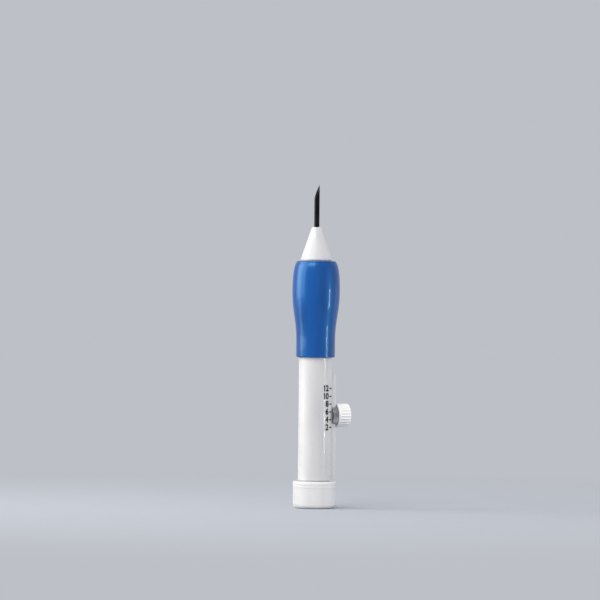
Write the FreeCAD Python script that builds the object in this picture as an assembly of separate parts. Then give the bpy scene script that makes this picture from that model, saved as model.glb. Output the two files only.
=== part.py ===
import FreeCAD, Part
import math
import os

# Punch needle for looped embroidery: a hollow pen, modelled standing on its end cap.
# Units are millimetres. +Z runs up the pen's axis towards the needle, +X points at the lock
# knob, and the origin is the centre of the end cap's flat bottom.
#
# Yarn enters through the end cap, runs up the barrel, through the needle carrier and the
# needle, and leaves at the needle's eye. The carrier slides in the barrel and is clamped at a
# setting of the printed scale by the ribbed knob, whose screw passes through the barrel's slot.

# Clearances
RUNNING_GAP = 0.10
ASSEMBLY_GAP = 0.03
MOULDED_GAP = 0.01
FACE_GAP = 0.05
SADDLE_SIDE_GAP = 0.15
NOSE_ROOM = 0.30
SLEEVE_END_GAP = 0.25

# Edge breaks
EDGE_BREAK = 0.3
FINE_EDGE = 0.15

# End cap: its swell is measured outwards from the barrel
CAP_SWELL = 2.15
CAP_HEIGHT = 11.1
CAP_FLOOR = 2.6
CAP_FOOT_ROUNDING = 2.0
CAP_RIM_HEIGHT = 2.5
CAP_RIM_STEP = 0.12
CAP_RIM_ROUNDING = 0.5
CAP_GROOVE_DROP = 1.5
CAP_GROOVE_DEPTH = 0.18
THREAD_HOLE_DIAMETER = 5.0
THREAD_HOLE_ROUNDING = 0.4

# Barrel
BARREL_DIAMETER = 13.6
BARREL_WALL = 1.5
BARREL_BODY_LENGTH = 59.4
BARREL_NECK_STEP = 0.5

# Rail and slot along the barrel
RAIL_WIDTH = 4.6
RAIL_HEIGHT = 1.5
RAIL_TOP_DROP = 6.4
RAIL_FOOT_GAP = 0.9
RAIL_EDGE_ROUNDING = 0.35
SLOT_WIDTH = 3.0

# Grip sleeve: each swell is measured outwards from the barrel's neck
GRIP_LENGTH = 39.65
GRIP_LIP_SWELL = 2.0
GRIP_LIP_ROUNDING = 0.75
GRIP_BELLY_SWELL = 3.5
GRIP_BELLY_DROP = 12.2
GRIP_WAIST_SWELL = 1.7
GRIP_WAIST_RISE = 6.6
GRIP_FOOT_ROUNDING = 0.6

# Fullness of the grip's curves, as shares of the spans that they bridge
GRIP_TOP_FULLNESS = 0.4
GRIP_LIP_FULLNESS = 0.75
GRIP_LIP_SLOPE = 1.5
GRIP_WAIST_FULLNESS = 0.43

# Nose cone
NOSE_LENGTH = 13.7
NOSE_RIM_STEP = 0.2
NOSE_RIM_HEIGHT = 0.5
NOSE_TIP_DIAMETER = 3.95
NOSE_TIP_ROUNDING = 0.3
NOSE_GUIDE_LENGTH = 2.3
NOSE_SPIGOT_LENGTH = 7.0
NOSE_SPIGOT_WALL = 1.2

# Depth scale, from the barrel's rear end; the depth at rest is five settings of 1.6
SCALE_START = 27.5
DEPTH_AT_REST = 8.0

# Needle carrier: lengths are measured from the lock screw's axis
CARRIER_REAR_LENGTH = 10.0
CARRIER_BAND_LENGTH = 7.0
CARRIER_FRONT_LENGTH = 43.3
CARRIER_FRONT_BAND = 8.0
CARRIER_WAIST_STEP = 1.0
CARRIER_SOCKET_DIAMETER = 6.6
CARRIER_SOCKET_LENGTH = 9.5
THREAD_BORE = 3.5
FUNNEL_LIP = 1.4
FUNNEL_LENGTH = 3.6
FINGER_SLOT_WIDTH = 0.8
FINGER_SLOT_LENGTH = 7.8

# Needle hub
HUB_COLLAR_DIAMETER = 5.8
HUB_COLLAR_LENGTH = 7.8
HUB_NECK_LENGTH = 12.4
HUB_NECK_BASE_DIAMETER = 4.1
HUB_NECK_TOP_DIAMETER = 3.4
HUB_STEM_DIAMETER = 3.0
HUB_STEM_LENGTH = 2.5
HUB_BEAD_DIAMETER = 3.9
HUB_BEAD_LENGTH = 4.1
HUB_ROUNDING = 0.25

# Needle tube
NEEDLE_DIAMETER = 2.2
NEEDLE_WALL = 0.3
NEEDLE_EXPOSED_LENGTH = 31.3
NEEDLE_TAIL_LENGTH = 2.5
BEVEL_LENGTH = 6.0
EYE_DIAMETER = 1.1
EYE_DROP = 2.3

# Lock screw and its insert
SCREW_DIAMETER = 2.5
SCREW_END_INSET = 0.15
SCREW_HEAD_DIAMETER = 4.5
SCREW_HEAD_LENGTH = 1.7
SCREW_HEAD_RISE = 1.5
SCREW_POINT_ROUNDING = 0.3
INSERT_DIAMETER = 4.0
INSERT_FLOOR = 0.8

# Saddle washer
SADDLE_DIAMETER = 8.3
SADDLE_PLATE = 0.65
SADDLE_LEG_DROP = 0.05

# Lock knob
KNOB_DIAMETER = 9.7
KNOB_LENGTH = 5.3
KNOB_FLANGE = 0.9
KNOB_EDGE_ROUNDING = 0.6
KNOB_GROOVES = 24
KNOB_GROOVE_RADIUS = 0.45
KNOB_GROOVE_DEPTH = 0.35

# Levels along the pen
barrel_rear = CAP_FLOOR
shoulder = barrel_rear + BARREL_BODY_LENGTH
grip_top = shoulder + GRIP_LENGTH
barrel_front = grip_top + SLEEVE_END_GAP
nose_tip = barrel_front + NOSE_LENGTH
knob_level = barrel_rear + SCALE_START + DEPTH_AT_REST
carrier_rear = knob_level - CARRIER_REAR_LENGTH
carrier_front = knob_level + CARRIER_FRONT_LENGTH
collar_top = carrier_front + HUB_COLLAR_LENGTH
hub_top = collar_top + HUB_NECK_LENGTH
bead_top = carrier_front - HUB_STEM_LENGTH
bead_foot = bead_top - HUB_BEAD_LENGTH
needle_tail = bead_foot - NEEDLE_TAIL_LENGTH
needle_tip = hub_top + NEEDLE_EXPOSED_LENGTH

# Radii and distances from the pen's axis along the knob's axis
barrel_radius = BARREL_DIAMETER / 2
bore_radius = barrel_radius - BARREL_WALL
neck_radius = barrel_radius - BARREL_NECK_STEP
carrier_radius = bore_radius - RUNNING_GAP
needle_radius = NEEDLE_DIAMETER / 2
rail_face = barrel_radius + RAIL_HEIGHT
saddle_inner = barrel_radius - SADDLE_LEG_DROP
saddle_outer = rail_face + FACE_GAP + SADDLE_PLATE
knob_base = saddle_outer + FACE_GAP
knob_end = knob_base + KNOB_LENGTH
insert_outer = math.sqrt(carrier_radius**2 - (INSERT_DIAMETER / 2) ** 2) - FACE_GAP
insert_inner = THREAD_BORE / 2 + INSERT_FLOOR
screw_end = insert_inner + SCREW_END_INSET
head_foot = knob_base + SCREW_HEAD_RISE
head_top = head_foot + SCREW_HEAD_LENGTH

AXIS = FreeCAD.Vector(0, 0, 1)
ORIGIN = FreeCAD.Vector(0, 0, 0)


def outline(corners):
    """Edges of a closed outline in the XZ plane through (radius, height, rounding) corners."""
    points = [FreeCAD.Vector(radius, 0, height) for radius, height, rounding in corners]
    edges = []
    ends = []
    for index, point in enumerate(points):
        back = (points[index - 1] - point).normalize()
        ahead = (points[(index + 1) % len(points)] - point).normalize()
        rounding = corners[index][2]
        if rounding == 0:
            ends.append((point, point))
            continue
        half_angle = back.getAngle(ahead) / 2
        reach = rounding / math.tan(half_angle)
        middle = (back + ahead).normalize() * (rounding / math.sin(half_angle) - rounding)
        ends.append((point + back * reach, point + ahead * reach))
        edges.append(Part.Arc(ends[-1][0], point + middle, ends[-1][1]).toShape())
    for index, (arrive, leave) in enumerate(ends):
        edges.append(Part.makeLine(leave, ends[(index + 1) % len(ends)][0]))
    return edges


def turned(edges):
    """Solid of revolution about the pen's axis from the edges of a closed outline."""
    face = Part.Face(Part.Wire(Part.__sortEdges__(edges)))
    return face.revolve(ORIGIN, AXIS, 360)


def rod(diameter, low, high):
    """Round rod on the pen's axis between two heights."""
    return Part.makeCylinder(diameter / 2, high - low, FreeCAD.Vector(0, 0, low))


def on_knob_axis(shape):
    """A shape made on the pen's axis, turned to lie along the knob's axis."""
    moved = shape.copy()
    moved.rotate(ORIGIN, FreeCAD.Vector(0, 1, 0), 90)
    moved.translate(FreeCAD.Vector(0, 0, knob_level))
    return moved


def upright_slot(width, inner, outer, low, top):
    """Prism along X with parallel sides, a square foot and a half-round top end."""
    half = width / 2
    bend = top - half
    corners = [(-half, low), (half, low), (half, bend), (-half, bend)]
    foot_left, foot_right, bend_right, bend_left = [FreeCAD.Vector(inner, y, z) for y, z in corners]
    edges = [
        Part.makeLine(foot_left, foot_right),
        Part.makeLine(foot_right, bend_right),
        Part.Arc(bend_right, FreeCAD.Vector(inner, 0, top), bend_left).toShape(),
        Part.makeLine(bend_left, foot_left),
    ]
    return Part.Face(Part.Wire(edges)).extrude(FreeCAD.Vector(outer - inner, 0, 0))


def end_cap():
    """Round cap over the barrel's rear end, with the hole where the yarn enters."""
    rim = barrel_radius + CAP_SWELL
    side = rim - CAP_RIM_STEP
    rim_foot = CAP_HEIGHT - CAP_RIM_HEIGHT
    groove = CAP_HEIGHT - CAP_GROOVE_DROP
    mouth = barrel_radius + ASSEMBLY_GAP
    hole = THREAD_HOLE_DIAMETER / 2
    return turned(
        outline(
            [
                (hole, 0, 0),
                (side, 0, CAP_FOOT_ROUNDING),
                (side, rim_foot - CAP_RIM_STEP, 0),
                (rim, rim_foot, 0),
                (rim, groove - CAP_GROOVE_DEPTH, 0),
                (rim - CAP_GROOVE_DEPTH, groove, 0),
                (rim, groove + CAP_GROOVE_DEPTH, 0),
                (rim, CAP_HEIGHT, CAP_RIM_ROUNDING),
                (mouth, CAP_HEIGHT, EDGE_BREAK),
                (mouth, CAP_FLOOR, 0),
                (hole, CAP_FLOOR, THREAD_HOLE_ROUNDING),
            ]
        )
    )


def barrel():
    """Stepped tube with a raised rail, slotted from the rear end to the rail's round top."""
    tube = turned(
        outline(
            [
                (bore_radius, barrel_rear, 0),
                (barrel_radius, barrel_rear, EDGE_BREAK),
                (barrel_radius, shoulder, 0),
                (neck_radius, shoulder, 0),
                (neck_radius, barrel_front, EDGE_BREAK),
                (bore_radius, barrel_front, 0),
            ]
        )
    )
    rail_top = shoulder - RAIL_TOP_DROP
    rail_foot = CAP_HEIGHT + RAIL_FOOT_GAP
    rail_root = (bore_radius + barrel_radius) / 2
    rail = upright_slot(RAIL_WIDTH, rail_root, rail_face, rail_foot, rail_top)
    outer_edges = [edge for edge in rail.Edges if edge.BoundBox.XMin > rail_face - FACE_GAP]
    rail = rail.makeFillet(RAIL_EDGE_ROUNDING, outer_edges)
    rail_wall = (RAIL_WIDTH - SLOT_WIDTH) / 2
    slot_top = rail_top - rail_wall
    slot_depth = rail_face + RAIL_HEIGHT
    slot = upright_slot(SLOT_WIDTH, bore_radius / 2, slot_depth, 0, slot_top)
    return tube.fuse(rail).cut(slot).removeSplitter()


def grip_sleeve():
    """Pear-shaped sleeve on the barrel's neck, between the shoulder and the nose cone."""
    seat = neck_radius + ASSEMBLY_GAP
    lip = neck_radius + GRIP_LIP_SWELL
    belly = neck_radius + GRIP_BELLY_SWELL
    waist = neck_radius + GRIP_WAIST_SWELL
    belly_level = grip_top - GRIP_BELLY_DROP
    waist_level = shoulder + GRIP_WAIST_RISE
    lip_level = grip_top - GRIP_LIP_ROUNDING
    top_pull = GRIP_BELLY_DROP * GRIP_TOP_FULLNESS
    lip_pull = (belly - lip) * GRIP_LIP_FULLNESS
    waist_pull = (belly_level - waist_level) * GRIP_WAIST_FULLNESS

    def at(radius, height):
        return FreeCAD.Vector(radius, 0, height)

    upper = Part.BezierCurve()
    upper.setPoles(
        [
            at(belly, belly_level),
            at(belly, belly_level + top_pull),
            at(lip + lip_pull, lip_level - lip_pull * GRIP_LIP_SLOPE),
            at(lip, lip_level),
        ]
    )
    lower = Part.BezierCurve()
    lower.setPoles(
        [
            at(waist, waist_level),
            at(waist, waist_level + waist_pull),
            at(belly, belly_level - waist_pull),
            at(belly, belly_level),
        ]
    )
    foot_turn = GRIP_FOOT_ROUNDING * (1 - math.sqrt(0.5))
    lip_turn = GRIP_LIP_ROUNDING * (1 - math.sqrt(0.5))
    foot_side = at(waist, shoulder + GRIP_FOOT_ROUNDING)
    foot_face = at(waist - GRIP_FOOT_ROUNDING, shoulder)
    lip_side = at(lip, lip_level)
    lip_face = at(lip - GRIP_LIP_ROUNDING, grip_top)
    edges = [
        Part.makeLine(at(seat, shoulder), foot_face),
        Part.Arc(foot_face, at(waist - foot_turn, shoulder + foot_turn), foot_side).toShape(),
        Part.makeLine(foot_side, at(waist, waist_level)),
        lower.toShape(),
        upper.toShape(),
        Part.Arc(lip_side, at(lip - lip_turn, grip_top - lip_turn), lip_face).toShape(),
        Part.makeLine(lip_face, at(seat, grip_top)),
        Part.makeLine(at(seat, grip_top), at(seat, shoulder)),
    ]
    return turned(edges)


def nose_cone():
    """Hollow cone whose spigot sits in the barrel's front end and whose tip guides the needle."""
    spigot = bore_radius - ASSEMBLY_GAP
    spigot_bore = spigot - NOSE_SPIGOT_WALL
    spigot_foot = barrel_front - NOSE_SPIGOT_LENGTH
    rim = neck_radius + NOSE_RIM_STEP
    rim_top = barrel_front + NOSE_RIM_HEIGHT
    guide = needle_radius + RUNNING_GAP
    guide_foot = nose_tip - NOSE_GUIDE_LENGTH
    cavity_top = HUB_NECK_TOP_DIAMETER / 2 + NOSE_ROOM
    return turned(
        outline(
            [
                (spigot_bore, spigot_foot, 0),
                (spigot, spigot_foot, EDGE_BREAK),
                (spigot, barrel_front, 0),
                (rim, barrel_front, 0),
                (rim, rim_top, 0),
                (NOSE_TIP_DIAMETER / 2, nose_tip, NOSE_TIP_ROUNDING),
                (guide, nose_tip, 0),
                (guide, guide_foot, 0),
                (cavity_top, guide_foot, 0),
                (spigot_bore, barrel_front, 0),
            ]
        )
    )


def needle_carrier():
    """Slider in the barrel: two guide bands, a split socket in front and a yarn bore through."""
    waist = carrier_radius - CARRIER_WAIST_STEP
    socket = CARRIER_SOCKET_DIAMETER / 2
    funnel = carrier_radius - FUNNEL_LIP
    bore = THREAD_BORE / 2
    rear_band_top = knob_level + CARRIER_BAND_LENGTH
    socket_foot = carrier_front - CARRIER_SOCKET_LENGTH
    front_band_foot = socket_foot - CARRIER_FRONT_BAND
    pocket = HUB_BEAD_DIAMETER / 2 + ASSEMBLY_GAP
    stem = HUB_STEM_DIAMETER / 2 + ASSEMBLY_GAP
    body = turned(
        outline(
            [
                (funnel, carrier_rear, 0),
                (carrier_radius, carrier_rear, EDGE_BREAK),
                (carrier_radius, rear_band_top, 0),
                (waist, rear_band_top + (carrier_radius - waist), 0),
                (waist, front_band_foot - (carrier_radius - waist), 0),
                (carrier_radius, front_band_foot, 0),
                (carrier_radius, socket_foot, EDGE_BREAK),
                (socket, socket_foot, 0),
                (socket, carrier_front, 0),
                (stem, carrier_front, 0),
                (stem, bead_top, 0),
                (pocket, bead_top, 0),
                (pocket, bead_foot, 0),
                (bore, bead_foot, 0),
                (bore, carrier_rear + FUNNEL_LENGTH, 0),
            ]
        )
    )
    finger_foot = carrier_front - FINGER_SLOT_LENGTH
    finger_slot = Part.makeBox(
        CARRIER_SOCKET_DIAMETER * 2,
        FINGER_SLOT_WIDTH,
        FINGER_SLOT_LENGTH * 2,
        FreeCAD.Vector(-CARRIER_SOCKET_DIAMETER, -FINGER_SLOT_WIDTH / 2, finger_foot),
    )
    cross_slot = finger_slot.copy()
    cross_slot.rotate(ORIGIN, AXIS, 90)
    insert_hole = on_knob_axis(
        rod(INSERT_DIAMETER + 2 * ASSEMBLY_GAP, insert_inner, carrier_radius * 2)
    )
    return body.cut([finger_slot, cross_slot, insert_hole])


def needle_hub():
    """Plastic hub moulded on the needle: neck, collar, stem and the bead that snaps in."""
    bore = needle_radius + MOULDED_GAP
    bead = HUB_BEAD_DIAMETER / 2
    stem = HUB_STEM_DIAMETER / 2
    collar = HUB_COLLAR_DIAMETER / 2
    return turned(
        outline(
            [
                (bore, bead_foot, 0),
                (bead, bead_foot, HUB_ROUNDING),
                (bead, bead_top, HUB_ROUNDING),
                (stem, bead_top, 0),
                (stem, carrier_front, 0),
                (collar, carrier_front, HUB_ROUNDING),
                (collar, collar_top, HUB_ROUNDING),
                (HUB_NECK_BASE_DIAMETER / 2, collar_top, 0),
                (HUB_NECK_TOP_DIAMETER / 2, hub_top, HUB_ROUNDING),
                (bore, hub_top, 0),
            ]
        )
    )


def needle_tube():
    """Hollow steel needle, cut to a long bevel that faces -X, with the eye in the +X wall."""
    bore = needle_radius - NEEDLE_WALL
    tube = rod(NEEDLE_DIAMETER, needle_tail, needle_tip).cut(
        rod(bore * 2, needle_tail, needle_tip)
    )
    slope = BEVEL_LENGTH / NEEDLE_DIAMETER
    reach = NEEDLE_DIAMETER
    side = -NEEDLE_DIAMETER
    above = needle_tip + BEVEL_LENGTH
    corners = [
        FreeCAD.Vector(needle_radius + reach, side, needle_tip + reach * slope),
        FreeCAD.Vector(-needle_radius - reach, side, needle_tip - BEVEL_LENGTH - reach * slope),
        FreeCAD.Vector(-needle_radius - reach, side, above),
    ]
    wedge_face = Part.Face(Part.makePolygon(corners + corners[:1]))
    wedge = wedge_face.extrude(FreeCAD.Vector(0, 2 * NEEDLE_DIAMETER, 0))
    eye_level = needle_tip - EYE_DROP
    eye = Part.makeCylinder(
        EYE_DIAMETER / 2,
        NEEDLE_DIAMETER,
        FreeCAD.Vector(0, 0, eye_level),
        FreeCAD.Vector(1, 0, 0),
    )
    return tube.cut([wedge, eye])


def threaded_insert():
    """Brass insert in the carrier's wall that the lock screw turns in."""
    body = rod(INSERT_DIAMETER, insert_inner, insert_outer)
    return on_knob_axis(body.cut(rod(SCREW_DIAMETER + 2 * RUNNING_GAP, insert_inner, insert_outer)))


def screw_form(gap):
    """The lock screw's outline turned solid, grown all round by a gap."""
    shank = SCREW_DIAMETER / 2 + gap
    head = SCREW_HEAD_DIAMETER / 2 + gap
    return turned(
        outline(
            [
                (0, screw_end, 0),
                (shank, screw_end, SCREW_POINT_ROUNDING),
                (shank, head_foot - gap, 0),
                (head, head_foot - gap, 0),
                (head, head_top + gap, 0),
                (0, head_top + gap, 0),
            ]
        )
    )


def saddle_washer():
    """Steel washer grooved across its underside, so that it straddles the rail."""
    edge = SADDLE_DIAMETER / 2
    hole = SCREW_DIAMETER / 2 + RUNNING_GAP
    disc = turned(
        outline(
            [
                (hole, saddle_inner, 0),
                (edge, saddle_inner, FINE_EDGE),
                (edge, saddle_outer, FINE_EDGE),
                (hole, saddle_outer, 0),
            ]
        )
    )
    groove_width = RAIL_WIDTH + 2 * SADDLE_SIDE_GAP
    groove = Part.makeBox(
        rail_face + FACE_GAP,
        groove_width,
        SADDLE_DIAMETER * 2,
        FreeCAD.Vector(0, -groove_width / 2, knob_level - SADDLE_DIAMETER),
    )
    return on_knob_axis(disc).cut(groove)


def lock_knob():
    """Round knob moulded over the screw's head, ribbed along its axis beyond a plain flange."""
    edge = KNOB_DIAMETER / 2
    body = turned(
        outline(
            [
                (0, knob_base, 0),
                (edge, knob_base, FINE_EDGE),
                (edge, knob_end, KNOB_EDGE_ROUNDING),
                (0, knob_end, 0),
            ]
        )
    )
    groove_foot = knob_base + KNOB_FLANGE
    groove_axis = edge - KNOB_GROOVE_DEPTH + KNOB_GROOVE_RADIUS
    grooves = []
    for index in range(KNOB_GROOVES):
        groove = Part.makeCylinder(
            KNOB_GROOVE_RADIUS,
            KNOB_LENGTH,
            FreeCAD.Vector(groove_axis, 0, groove_foot),
        )
        groove.rotate(ORIGIN, AXIS, (index + 0.5) * 360 / KNOB_GROOVES)
        grooves.append(groove)
    return on_knob_axis(body.cut(grooves + [screw_form(MOULDED_GAP)]))


pieces = {
    "end_cap": end_cap(),
    "barrel": barrel(),
    "grip_sleeve": grip_sleeve(),
    "nose_cone": nose_cone(),
    "needle_carrier": needle_carrier(),
    "needle_hub": needle_hub(),
    "needle_tube": needle_tube(),
    "threaded_insert": threaded_insert(),
    "lock_screw": on_knob_axis(screw_form(0)),
    "saddle_washer": saddle_washer(),
    "lock_knob": lock_knob(),
}

os.makedirs("parts", exist_ok=True)
for name, shape in pieces.items():
    shape.exportStep(f"parts/{name}.step")
    box = shape.BoundBox
    solids = len(shape.Solids)
    print(
        f"{name}: valid {shape.isValid()}, {solids} solid, {shape.Volume:.1f} mm3, "
        f"x {box.XMin:.2f}..{box.XMax:.2f}, z {box.ZMin:.2f}..{box.ZMax:.2f}"
    )
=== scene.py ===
"""The looks of a punch needle: smooth surfaces, finishes, printed depth scale, lamps and camera.

Lengths are metres. The pen stands on its end cap: +Z runs up its axis towards the needle and
+X points at the lock knob. Where a piece lies is read from the frame.
"""

import logging
import math
from dataclasses import dataclass
from enum import Enum
from typing import Any, Optional, Sequence, Union

import bmesh
import bpy
import numpy as np
from mathutils import Matrix, Vector

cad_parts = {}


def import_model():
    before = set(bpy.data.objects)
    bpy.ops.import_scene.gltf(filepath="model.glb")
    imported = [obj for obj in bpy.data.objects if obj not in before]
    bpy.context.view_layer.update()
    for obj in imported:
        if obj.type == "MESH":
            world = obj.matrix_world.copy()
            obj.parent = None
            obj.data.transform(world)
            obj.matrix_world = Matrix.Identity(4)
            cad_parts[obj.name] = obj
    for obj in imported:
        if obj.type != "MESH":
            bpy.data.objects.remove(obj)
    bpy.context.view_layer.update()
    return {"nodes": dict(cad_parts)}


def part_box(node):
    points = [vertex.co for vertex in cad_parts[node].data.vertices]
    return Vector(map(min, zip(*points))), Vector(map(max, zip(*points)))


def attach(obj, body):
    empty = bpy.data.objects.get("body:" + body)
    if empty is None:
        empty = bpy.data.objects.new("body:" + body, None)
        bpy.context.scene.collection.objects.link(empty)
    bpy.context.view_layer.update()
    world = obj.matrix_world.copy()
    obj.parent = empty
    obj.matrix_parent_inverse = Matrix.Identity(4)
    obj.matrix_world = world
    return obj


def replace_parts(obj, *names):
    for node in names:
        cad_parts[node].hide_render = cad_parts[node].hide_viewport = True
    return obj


Array = np.ndarray
Colour = tuple[float, float, float]
Material = bpy.types.Material
Piece = bpy.types.Object

LOG = logging.getLogger("punch_needle")
MM = 0.001
TURN = 2 * math.pi
RIGHT_ANGLE = TURN / 4
ROUND_COLUMNS = 192
ARC_STEPS = 9
CURVE_STEPS = 41
WELD = 1e-8
SHARP_ANGLE = math.radians(28)


class Body(Enum):
    """The bodies that a piece can ride on."""

    HANDLE = "handle"
    SLIDER = "slider"
    KNOB = "knob"


class Slot(Enum):
    """The record's material slots of the new pieces."""

    WHITE_PLASTIC = "white_plastic"
    BLUE_GRIP = "blue_grip"
    NEEDLE_STEEL = "needle_steel"
    SCREW_STEEL = "screw_steel"
    SADDLE_STEEL = "saddle_steel"


class Axis(Enum):
    """The axes that a piece can be round about, by their place in a point."""

    KNOB = 0
    PEN = 2


def srgb(red: float, green: float, blue: float) -> Colour:
    """Turns a colour given in display values from 0 to 255 into the linear values of a shader.

    Args:
        red: Red, 0 to 255.
        green: Green, 0 to 255.
        blue: Blue, 0 to 255.

    Returns:
        The linear colour.
    """
    values = np.array([red, green, blue]) / 255
    linear = np.where(values <= 0.04045, values / 12.92, ((values + 0.055) / 1.055) ** 2.4)
    return tuple(float(value) for value in linear)


class Wire:
    """One output of a node, on which Python's operators add Math nodes."""

    def __init__(self, graph: "Graph", socket: Optional[bpy.types.NodeSocket]) -> None:
        """Wraps a socket of a graph."""
        self.graph = graph
        self.socket = socket

    def _math(self, operation: str, first: "Value", second: "Value") -> "Wire":
        """Adds one Math node and returns its result."""
        return self.graph.node("ShaderNodeMath", {"operation": operation}, {0: first, 1: second})

    def __add__(self, other: "Value") -> "Wire":
        """Sum of this value and another."""
        return self._math("ADD", self, other)

    __radd__ = __add__

    def __sub__(self, other: "Value") -> "Wire":
        """This value less another."""
        return self._math("SUBTRACT", self, other)

    def __rsub__(self, other: "Value") -> "Wire":
        """Another value less this one."""
        return self._math("SUBTRACT", other, self)

    def __mul__(self, other: "Value") -> "Wire":
        """Product of this value and another."""
        return self._math("MULTIPLY", self, other)

    __rmul__ = __mul__

    def __truediv__(self, other: "Value") -> "Wire":
        """This value divided by another."""
        return self._math("DIVIDE", self, other)

    def clamped(self) -> "Wire":
        """This value held between 0 and 1."""
        return self._math("MINIMUM", self._math("MAXIMUM", self, 0.0), 1.0)

    def ramp(self, low: float, high: float) -> "Wire":
        """Share from 0 at low to 1 at high, held at both ends, with a smooth start and end."""
        share = ((self - low) / (high - low)).clamped()
        return share * share * (3 - 2 * share)


Value = Union[Wire, float, Sequence[float]]


class Graph:
    """The node tree of one material or of the world."""

    def __init__(self, tree: bpy.types.NodeTree) -> None:
        """Empties a node tree and wraps it."""
        self.tree = tree
        tree.nodes.clear()

    def node(
        self,
        kind: str,
        settings: dict[str, Any],
        inputs: dict[Union[str, int], Value],
        output: Union[str, int] = 0,
    ) -> Wire:
        """Adds a node of any type.

        Args:
            kind: The node's type name.
            settings: Properties of the node, set before its sockets are.
            inputs: Values or wires by socket name or index.
            output: Name or index of the output to return.

        Returns:
            The chosen output.
        """
        made = self.tree.nodes.new(kind)
        for name, value in settings.items():
            setattr(made, name, value)
        for name, value in inputs.items():
            socket = made.inputs[name]
            if isinstance(value, Wire):
                self.tree.links.new(value.socket, socket)
            else:
                socket.default_value = (*value[:3], 1.0) if socket.type == "RGBA" else value
        return Wire(self, made.outputs[output] if len(made.outputs) else None)

    def mix(self, factor: Value, first: Value, second: Value) -> Wire:
        """Blends two colours, the factor being the second colour's share."""
        return self.node("ShaderNodeMix", {"data_type": "RGBA"}, {0: factor, 6: first, 7: second}, output=2)

    def place(self, stretch: Sequence[float] = (1, 1, 1), shift: Sequence[float] = (0, 0, 0)) -> Wire:
        """Object coordinates, scaled and then moved along each axis."""
        where = self.node("ShaderNodeTexCoord", {}, {}, output="Object")
        return self.node("ShaderNodeMapping", {}, {"Vector": where, "Scale": stretch, "Location": shift})

    def noise(self, where: Wire, size: float, detail: float = 2.0) -> Wire:
        """Fractal noise from 0 to 1, with blots up to a size in metres and so many finer layers."""
        return self.node("ShaderNodeTexNoise", {}, {"Vector": where, "Scale": 1 / size, "Detail": detail})

    def bump(self, height: Value, depth: float) -> Wire:
        """Normal tilted by a height from 0 to 1 over a depth in metres."""
        return self.node("ShaderNodeBump", {}, {"Height": height, "Distance": depth}, output="Normal")

    def finish(self, **inputs: Value) -> None:
        """Ends a material in a Principled shader.

        Args:
            **inputs: Values or wires by socket name, with underscores for spaces.
        """
        named = {name.replace("_", " "): value for name, value in inputs.items()}
        shader = self.node("ShaderNodeBsdfPrincipled", {}, named)
        self.node("ShaderNodeOutputMaterial", {}, {"Surface": shader})


def new_graph(name: str) -> tuple[Material, Graph]:
    """Makes an empty material.

    Args:
        name: Name of the material.

    Returns:
        The material and the graph that fills it.
    """
    material = bpy.data.materials.new(name)
    material.use_nodes = True
    return material, Graph(material.node_tree)


@dataclass(frozen=True)
class MouldedPlastic:
    """Glossy moulded plastic: faint flow marks along the pen over an orange-peel skin.

    Attributes:
        name: Name of the material.
        colour: Main colour.
        shade: Colour at the strongest flow marks.
        roughness: Roughness of the skin.
        coat: Weight of the clear top gloss.
        specular: Strength of the skin's own reflection, 0.5 for a polished plastic.
        specular_tint: Colour of the skin's own reflection.
        peel: Depth of the skin's ripples in metres.
        glow: How far light wanders under the skin in metres, 0 for an opaque plastic.
    """

    name: str
    colour: Colour
    shade: Colour
    roughness: float = 0.28
    coat: float = 0.4
    specular: float = 0.2
    specular_tint: Colour = (1.0, 1.0, 1.0)
    peel: float = 0.003 * MM
    glow: float = 0.0

    FLOW_SIZE = 5 * MM
    FLOW_STRETCH = (1.0, 1.0, 0.25)
    FLOW_LIMITS = (0.35, 0.75)
    PEEL_SIZE = 0.55 * MM
    SMUDGE_SIZE = 9 * MM
    SMUDGE_SPREAD = 0.08
    COAT_ROUGHNESS = 0.035

    def material(self) -> Material:
        """Builds the material.

        Returns:
            The material.
        """
        material, graph = new_graph(self.name)
        flow = graph.noise(graph.place(self.FLOW_STRETCH), self.FLOW_SIZE, detail=3).ramp(*self.FLOW_LIMITS)
        smudge = graph.noise(graph.place(), self.SMUDGE_SIZE)
        peel = graph.noise(graph.place(), self.PEEL_SIZE)
        graph.finish(
            Base_Color=graph.mix(flow, self.colour, self.shade),
            Roughness=self.roughness + self.SMUDGE_SPREAD * (smudge - 0.5),
            Specular_IOR_Level=self.specular,
            Specular_Tint=self.specular_tint,
            Coat_Weight=self.coat,
            Coat_Roughness=self.COAT_ROUGHNESS,
            Subsurface_Weight=float(self.glow > 0),
            Subsurface_Radius=(1.0, 1.0, 1.0),
            Subsurface_Scale=self.glow,
            Normal=graph.bump(peel, self.peel),
        )
        return material


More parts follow.
